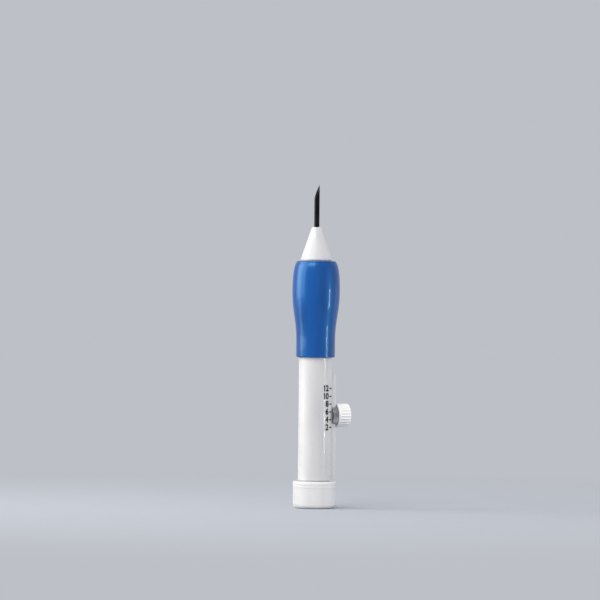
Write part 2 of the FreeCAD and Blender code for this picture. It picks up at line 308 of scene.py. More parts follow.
@dataclass(frozen=True)
class MachinedMetal:
    """Ground or turned metal: fine lines drawn out along one direction, under cloudy patches.

    Attributes:
        name: Name of the material.
        colour: Colour of the bright lines.
        dark: Colour of the dark lines.
        roughness: Mean roughness.
        line_width: Width of the lines in metres.
        stretch: Share of the lines' width along X, Y and Z, small where they run.
        groove: Depth of the lines in metres.
        cloud_shift: How far the cloudy patches are moved along X, Y and Z, which sets where their light and
            dark parts fall; on the saddle washer this places painted reflection.
    """

    name: str
    colour: Colour
    dark: Colour
    roughness: float = 0.3
    line_width: float = 0.06 * MM
    stretch: tuple[float, float, float] = (1.0, 0.3, 0.3)
    groove: float = 0.002 * MM
    cloud_shift: tuple[float, float, float] = (0.0, 0.0, 0.0)

    ROUGHNESS_SPREAD = 0.12
    CLOUD_SIZE = 5 * MM
    CLOUD_SHARE = 0.6
    TONE_LIMITS = (0.3, 0.7)

    def material(self) -> Material:
        """Builds the material.

        Returns:
            The material.
        """
        material, graph = new_graph(self.name)
        lines = graph.noise(graph.place(self.stretch), self.line_width, detail=4)
        # On the saddle washer these patches are painted reflection, lighter below and darker above; on the
        # other metals they are random tone.
        cloud = graph.noise(graph.place(shift=self.cloud_shift), self.CLOUD_SIZE)
        tone = (lines * (1 - self.CLOUD_SHARE) + cloud * self.CLOUD_SHARE).ramp(*self.TONE_LIMITS)
        graph.finish(
            Base_Color=graph.mix(tone, self.dark, self.colour),
            Metallic=1.0,
            Roughness=self.roughness + self.ROUGHNESS_SPREAD * (lines - 0.5),
            Normal=graph.bump(lines, self.groove),
        )
        return material


@dataclass(frozen=True)
class PrintInk:
    """Pad-printed black ink, matt and a little uneven."""

    name: str = "scale_ink"
    colour: Colour = srgb(8, 8, 9)
    thin: Colour = srgb(26, 26, 29)
    roughness: float = 0.5
    specular: float = 0.2

    SPECK_SIZE = 0.25 * MM
    SPECK_DEPTH = 0.003 * MM
    SPECK_LIMITS = (0.55, 0.8)
    ROUGHNESS_SPREAD = 0.2

    def material(self) -> Material:
        """Builds the material.

        Returns:
            The material.
        """
        material, graph = new_graph(self.name)
        speck = graph.noise(graph.place(), self.SPECK_SIZE, detail=4)
        graph.finish(
            Base_Color=graph.mix(speck.ramp(*self.SPECK_LIMITS), self.colour, self.thin),
            Roughness=self.roughness + self.ROUGHNESS_SPREAD * (speck - 0.5),
            Specular_IOR_Level=self.specular,
            Normal=graph.bump(speck, self.SPECK_DEPTH),
        )
        return material


@dataclass(frozen=True)
class Extent:
    """Where a round CAD node lies.

    Attributes:
        radius: Its largest radius.
        foot: Where it starts along its axis.
        top: Where it ends along its axis.
        level: Height of its middle.
    """

    radius: float
    foot: float
    top: float
    level: float

    @classmethod
    def of(cls, node: str, about: Axis = Axis.PEN) -> "Extent":
        """Reads the extent of a node that is round about an axis from the frame."""
        low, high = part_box(node)
        return cls(high.y, low[about.value], high[about.value], (low.z + high.z) / 2)


def unit(vectors: Array) -> Array:
    """Each vector divided by its length."""
    return vectors / np.linalg.norm(vectors, axis=-1, keepdims=True)


def points_at(*axes: Union[Array, float]) -> Array:
    """Points made of one array or number for each coordinate, all brought to the same shape."""
    return np.stack(np.broadcast_arrays(*axes), axis=-1)


def quads_of(index: Array) -> Array:
    """The four point numbers of each cell of a grid of point numbers."""
    return np.stack([index[:-1, :-1], index[:-1, 1:], index[1:, 1:], index[1:, :-1]], axis=-1)


def edge_drop(distance: Array, rounding: float) -> Array:
    """How far a rounded edge draws a face back: q - sqrt(q^2 - (q - d)^2), with d held to 0..q."""
    left = rounding - np.clip(distance, 0, rounding)
    return rounding - np.sqrt(np.maximum(rounding**2 - left**2, 0))


def rounded_outline(corners: Sequence[tuple[float, float, float]]) -> Array:
    """Closed outline whose corners are rounded, in radius and height.

    With unit vectors b and a from a corner P to its neighbours, h half the angle between them and
    q its rounding, the arc's centre is P + (b + a) / |b + a| * q / sin(h), and it touches the
    sides q / tan(h) from P. Its points are the great-circle blend of the two touching radii.

    Args:
        corners: Radius, height and rounding of each corner, anticlockwise.

    Returns:
        Points with shape (n, 2), each different from the one before it.
    """
    table = np.asarray(corners, float)
    point, rounding = table[:, :2], table[:, 2:]
    back = unit(np.roll(point, 1, axis=0) - point)
    ahead = unit(np.roll(point, -1, axis=0) - point)
    half = np.arccos(np.clip(np.sum(back * ahead, axis=1, keepdims=True), -1, 1)) / 2
    centre = point + unit(back + ahead) * rounding / np.sin(half)
    first = point + back * rounding / np.tan(half) - centre
    last = point + ahead * rounding / np.tan(half) - centre
    share = np.linspace(0, 1, ARC_STEPS)[None, :, None]
    sweep = (math.pi - 2 * half)[:, :, None]
    arc = np.sin((1 - share) * sweep) * first[:, None] + np.sin(share * sweep) * last[:, None]
    points = (centre[:, None] + arc / np.sin(sweep)).reshape(-1, 2)
    return points[np.linalg.norm(points - np.roll(points, 1, axis=0), axis=1) > WELD]


def bezier(*poles: tuple[float, float]) -> Array:
    """Cubic curve: its four poles weighted by the Bernstein polynomials.

    Args:
        *poles: Four points.

    Returns:
        Points with shape (steps, 2).
    """
    share = np.linspace(0, 1, CURVE_STEPS)[:, None]
    rest = 1 - share
    weights = np.hstack([rest**3, 3 * share * rest**2, 3 * share**2 * rest, share**3])
    return weights @ np.asarray(poles, float)


def quarter_turn(centre: tuple[float, float], radius: float, start: float) -> Array:
    """Quarter circle, anticlockwise from a start angle: centre plus radius times (cos, sin)."""
    angle = start + np.linspace(0, RIGHT_ANGLE, ARC_STEPS)
    return np.asarray(centre) + radius * points_at(np.cos(angle), np.sin(angle))


def turned(outline: Array, columns: int = ROUND_COLUMNS) -> Array:
    """Grid of a closed outline turned about Z: (radius cos a, radius sin a, height).

    Args:
        outline: Radius and height of each point, anticlockwise.
        columns: Columns in one turn.

    Returns:
        Points with shape (outline + 1, columns + 1, 3), first row and column repeated at the end.
    """
    closed = np.vstack([outline, outline[:1]])
    angle = np.linspace(0, TURN, columns + 1)
    radius, height = closed[:, :1], closed[:, 1:]
    return points_at(radius * np.cos(angle), radius * np.sin(angle), height)


def along_knob_axis(grid: Array, level: float) -> Array:
    """Turns points about Y so that their Z runs along +X, and lifts them to the knob's level."""
    return points_at(grid[..., 2], grid[..., 1], level - grid[..., 0])


class Surface:
    """Points and quads of one mesh, gathered patch by patch."""

    def __init__(self, *grids: Array) -> None:
        """Starts with a patch for each grid.

        Args:
            *grids: Points whose rows run up where their columns run anticlockwise, from outside.
        """
        self.points: list[Array] = []
        self.quads: list[Array] = []
        self.count = 0
        for grid in grids:
            self.quads.append(quads_of(self.number(grid)).reshape(-1, 4))

    def number(self, grid: Array) -> Array:
        """Takes in a grid's points.

        Args:
            grid: Points, rows by columns.

        Returns:
            The number of each point in the mesh, on the same grid.
        """
        rows, columns = grid.shape[:2]
        index = self.count + np.arange(rows * columns).reshape(rows, columns)
        self.points.append(grid.reshape(-1, 3))
        self.count += rows * columns
        return index

    def add_shell(self, outer: Array, inner: Array, keep: Array, mirrored: bool = False) -> None:
        """Adds a wall between two like grids, closed wherever a kept cell meets one left out.

        Args:
            outer: Outer points, rows by columns.
            inner: Inner points, rows by columns.
            keep: Which cells are there, with a border of one cell all round that says whether
                the wall goes on past the grid's edge.
            mirrored: True if the grids are a mirror image, so that each quad turns round.
        """
        out, inn = self.number(outer), self.number(inner)
        cells = keep[1:-1, 1:-1]
        faces = [quads_of(out)[cells], quads_of(inn)[cells][:, [0, 3, 2, 1]]]
        left, right = keep[1:-1, :-1], keep[1:-1, 1:]
        starts = np.stack([out[:-1], out[1:], inn[1:], inn[:-1]], axis=-1)
        faces += [starts[right & ~left], starts[left & ~right][:, ::-1]]
        below, above = keep[:-1, 1:-1], keep[1:, 1:-1]
        feet = np.stack([out[:, :-1], inn[:, :-1], inn[:, 1:], out[:, 1:]], axis=-1)
        faces += [feet[above & ~below], feet[below & ~above][:, ::-1]]
        quads = np.vstack(faces)
        self.quads.append(quads[:, ::-1] if mirrored else quads)

    def build(self, name: str, body: Body, slot: Slot, material: Material) -> Piece:
        """Makes the object: quads with no area are dropped, seams and poles are welded.

        Args:
            name: Name of the piece.
            body: The body that it rides on.
            slot: The record's slot that its finish belongs to; not used.
            material: Its finish.

        Returns:
            The finished object.
        """
        points, quads = np.vstack(self.points), np.vstack(self.quads)
        corners = points[quads]
        spans = np.cross(corners[:, 2] - corners[:, 0], corners[:, 3] - corners[:, 1])
        quads = quads[np.linalg.norm(spans, axis=1) > WELD * WELD]
        mesh = bpy.data.meshes.new(name)
        mesh.from_pydata(points, [], quads)
        weld(mesh)
        return add_piece(bpy.data.objects.new(name, mesh), body, material)


def weld(mesh: bpy.types.Mesh) -> None:
    """Merges points that coincide, turns faces outwards and marks sharp edges.

    Args:
        mesh: The mesh to change.
    """
    work = bmesh.new()
    work.from_mesh(mesh)
    bmesh.ops.remove_doubles(work, verts=work.verts, dist=WELD * 10)
    loose = [vertex for vertex in work.verts if not vertex.link_faces]
    bmesh.ops.delete(work, geom=loose, context="VERTS")
    bmesh.ops.recalc_face_normals(work, faces=work.faces)
    work.to_mesh(mesh)
    work.free()
    mesh.shade_smooth()
    mesh.set_sharp_from_angle(angle=SHARP_ANGLE)


def add_piece(piece: Piece, body: Body, material: Material) -> Piece:
    """Links an object, dresses it and lets it ride on its body.

    Args:
        piece: The object.
        body: The body that it rides on.
        material: Its finish.

    Returns:
        The same object.
    """
    bpy.context.scene.collection.objects.link(piece)
    piece.data.materials.clear()
    piece.data.materials.append(material)
    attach(piece, body.value)
    LOG.info("%s rides on %s, %d faces", piece.name, body.value, len(piece.data.polygons))
    return piece


def dress_node(nodes: dict[str, Piece], name: str, material: Material) -> None:
    """Gives a CAD node that stays a better material.

    Args:
        nodes: The frame's objects by node name.
        name: Name of the node.
        material: Its finish.
    """
    piece = nodes[name]
    if not piece.material_slots:
        piece.data.materials.append(material)
    for holder in piece.material_slots:
        holder.link = "OBJECT"
        holder.material = material
    LOG.info("%s keeps its CAD shape", name)


@dataclass
class EndCap:
    """Round cap over the barrel's rear end, with the hole where the yarn enters."""

    finish: Material
    hole: float = 2.5 * MM
    floor: float = 2.6 * MM
    mouth: float = 6.83 * MM
    foot_rounding: float = 2.0 * MM
    rim_height: float = 2.5 * MM
    rim_step: float = 0.12 * MM
    rim_rounding: float = 0.5 * MM
    groove_drop: float = 1.5 * MM
    groove_depth: float = 0.18 * MM
    groove_softness: float = 0.06 * MM
    edge: float = 0.3 * MM
    hole_rounding: float = 0.4 * MM

    def build(self) -> Piece:
        """Builds the cap as a turned outline with a stepped, grooved rim.

        Returns:
            The finished cap.
        """
        extent = Extent.of("end_cap")
        rim, side = extent.radius, extent.radius - self.rim_step
        rim_foot = extent.top - self.rim_height
        groove = extent.top - self.groove_drop
        outline = rounded_outline(
            [
                (self.hole, extent.foot, 0),
                (side, extent.foot, self.foot_rounding),
                (side, rim_foot - self.rim_step, self.groove_softness),
                (rim, rim_foot, self.groove_softness),
                (rim, groove - self.groove_depth, self.groove_softness),
                (rim - self.groove_depth, groove, self.groove_softness),
                (rim, groove + self.groove_depth, self.groove_softness),
                (rim, extent.top, self.rim_rounding),
                (self.mouth, extent.top, self.edge),
                (self.mouth, self.floor, 0),
                (self.hole, self.floor, self.hole_rounding),
            ]
        )
        cap = Surface(turned(outline)).build("cap", Body.HANDLE, Slot.WHITE_PLASTIC, self.finish)
        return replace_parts(cap, "end_cap")


@dataclass
class Barrel:
    """Slotted tube with a raised rail, a thin groove above the cap and the neck inside the grip."""

    finish: Material
    bore: float = 5.3 * MM
    neck_step: float = 0.5 * MM
    radius: float = 6.8 * MM
    shoulder: float = 62.0 * MM
    rail_half: float = 2.3 * MM
    rail_foot: float = 12.0 * MM
    rail_top: float = 55.6 * MM
    rail_rounding: float = 0.35 * MM
    slot_half: float = 1.5 * MM
    seam_height: float = 0.45 * MM
    seam_depth: float = 0.5 * MM
    draft: float = 0.03 * MM
    back_columns: int = 84
    face_columns: int = 14
    edge_columns: int = 8
    arc_rows: int = 15

    @property
    def bend(self) -> float:
        """Height where the round tops of the rail and of the slot start."""
        return self.rail_top - self.rail_half

    def rows(self) -> tuple[Array, Array, Array]:
        """Heights of the rows, whether the rail is there, and the tube's radius at each.

        The rows follow the slot's and the rail's round tops: bend + half-width * sin(angle). The
        sides of the groove above the cap and the rail's foot lean by the draft.

        Returns:
            Heights, rail flags and outer radii, each with shape (rows, 1).
        """
        extent, joint = Extent.of("barrel"), Extent.of("end_cap").top
        quarter = np.linspace(0, RIGHT_ANGLE, self.arc_rows)
        foot = self.rail_foot + self.rail_rounding * (1 - np.cos(quarter[::2]))
        slot_rows = self.bend + self.slot_half * np.sin(quarter)
        start = math.asin(self.slot_half / self.rail_half)
        rail_rows = self.bend + self.rail_half * np.sin(np.linspace(start, RIGHT_ANGLE, self.arc_rows))
        rail_z = np.concatenate([foot, slot_rows, rail_rows[1:]])
        seam_top = joint + self.seam_height
        seam = [joint, joint + self.draft, seam_top - self.draft, seam_top]
        below = [extent.foot, *seam, self.rail_foot - self.draft]
        above = [self.rail_top, self.shoulder, self.shoulder, extent.top]
        heights = np.concatenate([below, rail_z, above])
        rail = np.repeat([False, True, False], [len(below), len(rail_z), len(above)])
        radii = np.full(len(heights), self.radius)
        radii[2:4] -= self.seam_depth
        radii[-2:] -= self.neck_step
        return heights[:, None], rail[:, None], radii[:, None]

    def half(self) -> tuple[Array, Array, Array]:
        """Outer and inner grids of the half with y >= 0, from the slot round to the back.

        A round top narrows its half-width w to sqrt(w^2 - (z - bend)^2). Over the rail the outer
        points lie on its face, less edge_drop of their distance to the rail's outline. Elsewhere
        they lie on the tube.

        Returns:
            Outer grid, inner grid and the mask of kept cells with its border.
        """
        z, rail, radius = self.rows()
        over = np.maximum(z - self.bend, 0)
        slot_w = np.sqrt(np.maximum(self.slot_half**2 - over**2, 0))
        rail_w = np.sqrt(np.maximum(self.rail_half**2 - over**2, 0))
        wall = self.rail_half - self.slot_half
        edge_turn = np.linspace(0, RIGHT_ANGLE, self.edge_columns)
        edge_share = self.rail_rounding / wall * (1 - np.cos(edge_turn))
        flat_share = np.linspace(edge_share[-1], 1, self.face_columns - self.edge_columns + 1)[1:]
        share = np.concatenate([edge_share, flat_share])[::-1]
        y = rail_w - (rail_w - slot_w) * share
        inside = np.minimum(self.rail_half - np.hypot(y, over), z - self.rail_foot)
        rail_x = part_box("barrel")[1].x - edge_drop(inside, self.rail_rounding)
        face = points_at(np.where(rail, rail_x, np.sqrt(radius**2 - y**2)), y, z)
        root = np.arcsin(rail_w / radius)
        angle = root + (math.pi - root) * np.linspace(0, 1, self.back_columns)
        back = points_at(radius * np.cos(angle), radius * np.sin(angle), z)
        outer = np.concatenate([face, back], axis=1)
        start = np.arcsin(slot_w / self.bore)
        turn = start + (math.pi - start) * np.linspace(0, 1, outer.shape[1])
        inner = points_at(self.bore * np.cos(turn), self.bore * np.sin(turn), z)
        keep = np.ones((outer.shape[0] + 1, outer.shape[1] + 1), bool)
        keep[[0, -1]] = False
        keep[1:-1, 0] = (slot_w[1:, 0] == 0) & (slot_w[:-1, 0] == 0)
        return outer, inner, keep

    def build(self) -> Piece:
        """Builds both halves of the barrel and welds them.

        Returns:
            The finished barrel.
        """
        outer, inner, keep = self.half()
        mirror = np.array([1.0, -1.0, 1.0])
        surface = Surface()
        surface.add_shell(outer, inner, keep)
        surface.add_shell(outer * mirror, inner * mirror, keep, mirrored=True)
        tube = surface.build("slotted_barrel", Body.HANDLE, Slot.WHITE_PLASTIC, self.finish)
        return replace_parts(tube, "barrel")


@dataclass
class DepthScale:
    """Even numbers and ticks printed on the barrel beside the rail, read from the front."""

    finish: Material
    barrel_radius: float = 6.8 * MM
    start: float = 30.1 * MM
    pitch: float = 1.6 * MM
    settings: tuple[int, ...] = (2, 4, 6, 8, 10, 12)
    digit_height: float = 2.55 * MM
    digit_width: float = 1.75 * MM
    one_width: float = 0.68 * MM
    units_middle: float = math.radians(-63.0)
    tens_middle: float = math.radians(-76.0)
    tick_left: float = math.radians(-50.5)
    tick_right: float = math.radians(-25.5)
    tick_width: float = 0.5 * MM
    tick_columns: int = 15
    ink: float = 0.02 * MM
    boldness: float = 0.12 * MM
    digit_rise: float = 0.16 * MM
    strip: float = 0.15 * MM
    merge: float = 1e-4
    snap: float = 0.001 * MM

    ONE = ((0.38, 0.0), (1.0, 0.0), (1.0, 1.0), (0.5, 1.0), (0.0, 0.84), (0.0, 0.66), (0.38, 0.76))

    def on_barrel(self, flat: Array) -> Array:
        """Wraps flat print round the barrel: x becomes an arc of the same length, y the height."""
        angle, radius = flat[..., 0] / self.barrel_radius, self.barrel_radius + flat[..., 2]
        return points_at(radius * np.cos(angle), radius * np.sin(angle), flat[..., 1])

    def one(self, name: str) -> bpy.types.Mesh:
        """Flat figure one: an upright bar with a short flag.

        Args:
            name: Name of the mesh.

        Returns:
            The mesh.
        """
        mesh = bpy.data.meshes.new(name)
        mesh.from_pydata(np.pad(self.ONE, ((0, 0), (0, 1))), [], [range(len(self.ONE))])
        return mesh

    def written(self, sign: str, name: str) -> bpy.types.Mesh:
        """Flat digit in the built-in font.

        Args:
            sign: The digit.
            name: Name of the curve that it is written with.

        Returns:
            Its mesh.
        """
        curve = bpy.data.curves.new(name, "FONT")
        curve.body = sign
        writing = bpy.data.objects.new("writing", curve)
        bpy.context.scene.collection.objects.link(writing)
        bpy.context.view_layer.update()
        mesh = bpy.data.meshes.new_from_object(writing)
        bpy.data.objects.remove(writing)
        return mesh

    def triangles(self, mesh: bpy.types.Mesh) -> tuple[Array, Array]:
        """Cuts a flat digit into triangles, none of them without an area.

        Args:
            mesh: The digit.

        Returns:
            Corners with shape (n, 2), and anticlockwise triangles with shape (m, 3).
        """
        work = bmesh.new()
        work.from_mesh(mesh)
        bmesh.ops.remove_doubles(work, verts=work.verts, dist=self.merge)
        bmesh.ops.triangulate(work, faces=work.faces)
        bmesh.ops.beautify_fill(work, faces=work.faces, edges=work.edges)
        work.verts.index_update()
        points = np.array([vertex.co[:2] for vertex in work.verts])
        faces = np.array([[vertex.index for vertex in face.verts] for face in work.faces])
        work.free()
        first, second, third = points[faces[:, 0]], points[faces[:, 1]], points[faces[:, 2]]
        clockwise = np.cross(second - first, third - first) < 0
        faces[clockwise] = faces[clockwise][:, ::-1]
        return points, faces

    def bolder(self, points: Array, faces: Array) -> Array:
        """Moves a flat outline outwards, so that each stroke grows by the boldness on both sides.

        A side that only one face has belongs to the outline. With n1 and n2 the outward normals of
        a point's two sides, the point moves by 2 b (n1 + n2) / |n1 + n2|^2, b being the boldness,
        which keeps both sides b from where they were. At a sharp corner the divisor is held at 1.

        Args:
            points: Corners, with shape (n, 2).
            faces: Anticlockwise triangles, with shape (m, 3).

        Returns:
            The moved corners.
        """
        sides = faces[:, [0, 1, 1, 2, 2, 0]].reshape(-1, 2)
        forward = sides[:, 0] * len(points) + sides[:, 1]
        backward = sides[:, 1] * len(points) + sides[:, 0]
        rim = sides[~np.isin(forward, backward)]
        along = points[rim[:, 1]] - points[rim[:, 0]]
        outward = unit(points_at(along[:, 1], -along[:, 0]))
        total = np.zeros_like(points)
        np.add.at(total, rim[:, 0], outward)
        np.add.at(total, rim[:, 1], outward)
        length = np.maximum(np.sum(total**2, axis=1, keepdims=True), 1)
        return points + 2 * self.boldness * total / length

    def digit(self, sign: str, middle: float, level: float, name: str) -> Piece:
        """One printed digit, cut into narrow upright strips so that it can bend.

        Args:
            sign: The digit.
            middle: Angle of its middle round the barrel.
            level: Height of its middle.
            name: Name of the piece.

        Returns:
            The digit.
        """
        mesh = self.one(name) if sign == "1" else self.written(sign, name)
        points, faces = self.triangles(mesh)
        low, high = points.min(axis=0), points.max(axis=0)
        width = self.one_width if sign == "1" else self.digit_width
        size = np.array([width, self.digit_height])
        points = (points - (low + high) / 2) / (high - low) * (size - 2 * self.boldness)
        mesh.clear_geometry()
        mesh.from_pydata(np.pad(self.bolder(points, faces), ((0, 0), (0, 1))), [], faces)
        work = bmesh.new()
        work.from_mesh(mesh)
        for cut in np.arange(-width / 2 + self.strip, width / 2, self.strip):
            geometry = work.verts[:] + work.edges[:] + work.faces[:]
            bmesh.ops.bisect_plane(
                work, geom=geometry, dist=self.snap, plane_co=(cut, 0, 0), plane_no=(1, 0, 0)
            )
        work.to_mesh(mesh)
        work.free()
        flat = np.zeros(len(mesh.vertices) * 3, np.float32)
        mesh.vertices.foreach_get("co", flat)
        flat = flat.reshape(-1, 3) + np.array([middle * self.barrel_radius, level, self.ink])
        mesh.vertices.foreach_set("co", self.on_barrel(flat).astype(np.float32).ravel())
        mesh.update()
        return self.printed(bpy.data.objects.new(name, mesh))

    def numeral(self, setting: int) -> list[Piece]:
        """One printed number.

        Args:
            setting: The number.

        Returns:
            Its units digit, and its tens digit to the left if it has one.
        """
        level = self.start + setting * self.pitch + self.digit_rise
        places = zip(reversed(str(setting)), (self.units_middle, self.tens_middle), ("units", "tens"))
        return [self.digit(sign, middle, level, f"{place}_{setting}") for sign, middle, place in places]

    def tick(self, setting: int) -> Piece:
        """One printed tick: a flat strip of two rows of points, wrapped round the barrel.

        Args:
            setting: The number beside it.

        Returns:
            The tick.
        """
        level = self.start + setting * self.pitch
        along = np.linspace(self.tick_left, self.tick_right, self.tick_columns) * self.barrel_radius
        sides = np.array([[-self.tick_width / 2], [self.tick_width / 2]])
        flat = points_at(along, level + sides, self.ink)
        index = np.arange(2 * self.tick_columns).reshape(2, -1)
        mesh = bpy.data.meshes.new(f"tick_{setting}")
        mesh.from_pydata(self.on_barrel(flat).reshape(-1, 3), [], quads_of(index).reshape(-1, 4))
        return self.printed(bpy.data.objects.new(f"tick_{setting}", mesh))

    def printed(self, piece: Piece) -> Piece:
        """Gives print the thickness of its ink, inwards to the barrel, and its finish.

        Args:
            piece: The print's outer face.

        Returns:
            The same object.
        """
        layer = piece.modifiers.new("ink", "SOLIDIFY")
        layer.thickness = self.ink
        layer.offset = -1
        return add_piece(piece, Body.HANDLE, self.finish)

    def build(self) -> list[Piece]:
        """Prints every number and its tick."""
        digits = [digit for setting in self.settings for digit in self.numeral(setting)]
        return digits + [self.tick(setting) for setting in self.settings]


@dataclass
class GripSleeve:
    """Pear-shaped sleeve on the barrel's neck."""

    finish: Material
    seat: float = 6.33 * MM
    lip: float = 8.3 * MM
    lip_rounding: float = 0.75 * MM
    belly_drop: float = 12.2 * MM
    waist: float = 8.0 * MM
    waist_rise: float = 6.6 * MM
    foot_rounding: float = 0.6 * MM
    top_fullness: float = 0.4
    lip_fullness: float = 0.75
    lip_slope: float = 1.5
    waist_fullness: float = 0.43

    def outline(self) -> Array:
        """Closed outline: two Bezier curves meet at the belly, with rounded lip and foot.

        Returns:
            Points with shape (n, 2), anticlockwise.
        """
        extent = Extent.of("grip_sleeve")
        belly, belly_z = extent.radius, extent.top - self.belly_drop
        waist_z = extent.foot + self.waist_rise
        lip_z = extent.top - self.lip_rounding
        top_pull = self.belly_drop * self.top_fullness
        lip_pull = (belly - self.lip) * self.lip_fullness
        waist_pull = (belly_z - waist_z) * self.waist_fullness
        foot = (self.waist - self.foot_rounding, extent.foot + self.foot_rounding)
        lower = bezier(
            (self.waist, waist_z),
            (self.waist, waist_z + waist_pull),
            (belly, belly_z - waist_pull),
            (belly, belly_z),
        )
        upper = bezier(
            (belly, belly_z),
            (belly, belly_z + top_pull),
            (self.lip + lip_pull, lip_z - lip_pull * self.lip_slope),
            (self.lip, lip_z),
        )
        foot_arc = quarter_turn(foot, self.foot_rounding, -RIGHT_ANGLE)
        lip_arc = quarter_turn((self.lip - self.lip_rounding, lip_z), self.lip_rounding, 0)
        ends = np.array([[self.seat, extent.foot], [self.seat, extent.top]])
        return np.vstack([ends[:1], foot_arc, lower, upper[1:], lip_arc[1:], ends[1:]])

    def build(self) -> Piece:
        """Builds the sleeve as a turned outline.

        Returns:
            The finished sleeve.
        """
        surface = Surface(turned(self.outline()))
        sleeve = surface.build("pear_grip", Body.HANDLE, Slot.BLUE_GRIP, self.finish)
        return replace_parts(sleeve, "grip_sleeve")


@dataclass
class NoseCone:
    """Hollow cone with a spigot in the barrel and the needle's guide hole at its tip."""

    finish: Material
    spigot: float = 5.27 * MM
    spigot_bore: float = 4.07 * MM
    spigot_length: float = 7.0 * MM
    rim_height: float = 0.5 * MM
    rim_rounding: float = 0.18 * MM
    tip: float = 1.975 * MM
    tip_rounding: float = 0.3 * MM
    guide: float = 1.2 * MM
    guide_length: float = 2.3 * MM
    cavity_top: float = 2.0 * MM
    edge: float = 0.3 * MM

    def build(self) -> Piece:
        """Builds the cone as a turned outline, open through its middle.

        Returns:
            The finished cone.
        """
        extent = Extent.of("nose_cone")
        base = extent.foot + self.spigot_length
        guide_foot = extent.top - self.guide_length
        outline = rounded_outline(
            [
                (self.spigot_bore, extent.foot, 0),
                (self.spigot, extent.foot, self.edge),
                (self.spigot, base, 0),
                (extent.radius, base, self.rim_rounding),
                (extent.radius, base + self.rim_height, self.rim_rounding),
                (self.tip, extent.top, self.tip_rounding),
                (self.guide, extent.top, 0),
                (self.guide, guide_foot, 0),
                (self.cavity_top, guide_foot, 0),
                (self.spigot_bore, base, 0),
            ]
        )
        cone = Surface(turned(outline)).build("nose", Body.HANDLE, Slot.WHITE_PLASTIC, self.finish)
        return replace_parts(cone, "nose_cone")


@dataclass
class Needle:
    """Hollow needle cut to a long bevel, with its eye in the wall that reaches the point."""

    finish: Material
    wall: float = 0.3 * MM
    bevel: float = 6.0 * MM
    eye_radius: float = 0.55 * MM
    eye_drop: float = 2.3 * MM
    columns: int = 96
    shaft_rows: int = 40
    point_rows: int = 14
    eye_cells: int = 5
    warped_cells: int = 12

    def build(self) -> Piece:
        """Builds the tube: rows of heights are cut off at the bevel, cells are opened for the eye.

        At angle a from the +X side, a wall of radius r ends at the point less
        (R - r cos a) * bevel / 2R, R being the outer radius. Round the eye, a cell corner at p
        from its centre, unrolled, moves to s p + (1 - s) q p / |p|, where q is the eye's radius and
        s goes from 0 on the square of opened cells to 1 on the square where the warp ends.

        Returns:
            The finished needle.
        """
        extent = Extent.of("needle_tube")
        radius = extent.radius
        step = TURN * radius / self.columns
        reach = self.warped_cells * step
        eye = extent.top - self.eye_drop
        fine = eye + step * np.arange(-self.warped_cells, self.warped_cells + 1)
        lower = np.linspace(extent.foot, fine[0], self.shaft_rows)[:-1]
        upper = np.linspace(fine[-1], extent.top, self.point_rows)[1:]
        height = np.concatenate([lower, fine, upper])[:, None]
        around = step * np.arange(-self.columns // 2, self.columns // 2 + 1)[None, :]
        across, along = np.broadcast_arrays(around, height - eye)
        span = np.maximum(np.abs(across), np.abs(along))
        opened = self.eye_cells * step
        share = np.clip((span - opened) / (reach - opened), 0, 1)
        length = np.maximum(np.hypot(across, along), WELD)
        factor = np.where(span > opened - WELD, share + (1 - share) * self.eye_radius / length, 1)
        angle, z = across * factor / radius, eye + along * factor
        slope = self.bevel / (2 * radius)
        grids = []
        for wall_radius in (radius, radius - self.wall):
            x, y = wall_radius * np.cos(angle), wall_radius * np.sin(angle)
            grids.append(points_at(x, y, np.minimum(z, extent.top - (radius - x) * slope)))
        centre = (span[:-1, :-1] + span[1:, 1:] + span[:-1, 1:] + span[1:, :-1]) / 4
        keep = np.zeros((height.shape[0] + 1, around.shape[1] + 1), bool)
        keep[1:-1, 1:-1] = centre > opened
        keep[1:-1, 0] = keep[1:-1, -1] = True
        surface = Surface()
        surface.add_shell(*grids, keep)
        tube = surface.build("hollow_needle", Body.SLIDER, Slot.NEEDLE_STEEL, self.finish)
        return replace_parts(tube, "needle_tube")


@dataclass
class SaddleWasher:
    """Steel washer that straddles the rail: a disc with a groove across its inner side."""

    finish: Material
    groove_half: float = 2.45 * MM
    plate: float = 0.65 * MM
    edge: float = 0.15 * MM
    row_count: int = 97
    leg_columns: int = 16
    groove_columns: int = 12

    def build(self) -> Piece:
        """Builds the disc between two height fields over its round outline.

        Both faces draw back at the rim by edge_drop of the distance to it, R - |(y, up)|. The inner
        face steps up at the groove.

        Returns:
            The finished washer.
        """
        extent = Extent.of("saddle_washer", Axis.KNOB)
        radius = extent.radius
        up = radius * np.sin(np.linspace(-RIGHT_ANGLE, RIGHT_ANGLE, self.row_count))[:, None]
        half = np.sqrt(np.maximum(radius**2 - up**2, 0))
        groove = np.minimum(half, self.groove_half)
        side = groove + (half - groove) * np.sin(np.linspace(0, RIGHT_ANGLE, self.leg_columns))
        middle = groove * np.linspace(-1, 1, self.groove_columns)
        y = np.concatenate([-side[:, ::-1], middle, side], axis=1)
        is_leg = np.ones(y.shape[1], bool)
        is_leg[self.leg_columns : -self.leg_columns] = False
        drop = edge_drop(radius - np.hypot(y, up), self.edge)
        has_leg = is_leg[None, :] & (half > self.groove_half)
        face = points_at(extent.top - drop, y, extent.level + up)
        back_x = np.where(has_leg, extent.foot + drop, extent.top - self.plate)
        keep = np.pad(np.ones((y.shape[0] - 1, y.shape[1] - 1), bool), 1)
        surface = Surface()
        surface.add_shell(face, points_at(back_x, y, extent.level + up), keep)
        washer = surface.build("saddle", Body.SLIDER, Slot.SADDLE_STEEL, self.finish)
        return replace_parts(washer, "saddle_washer")


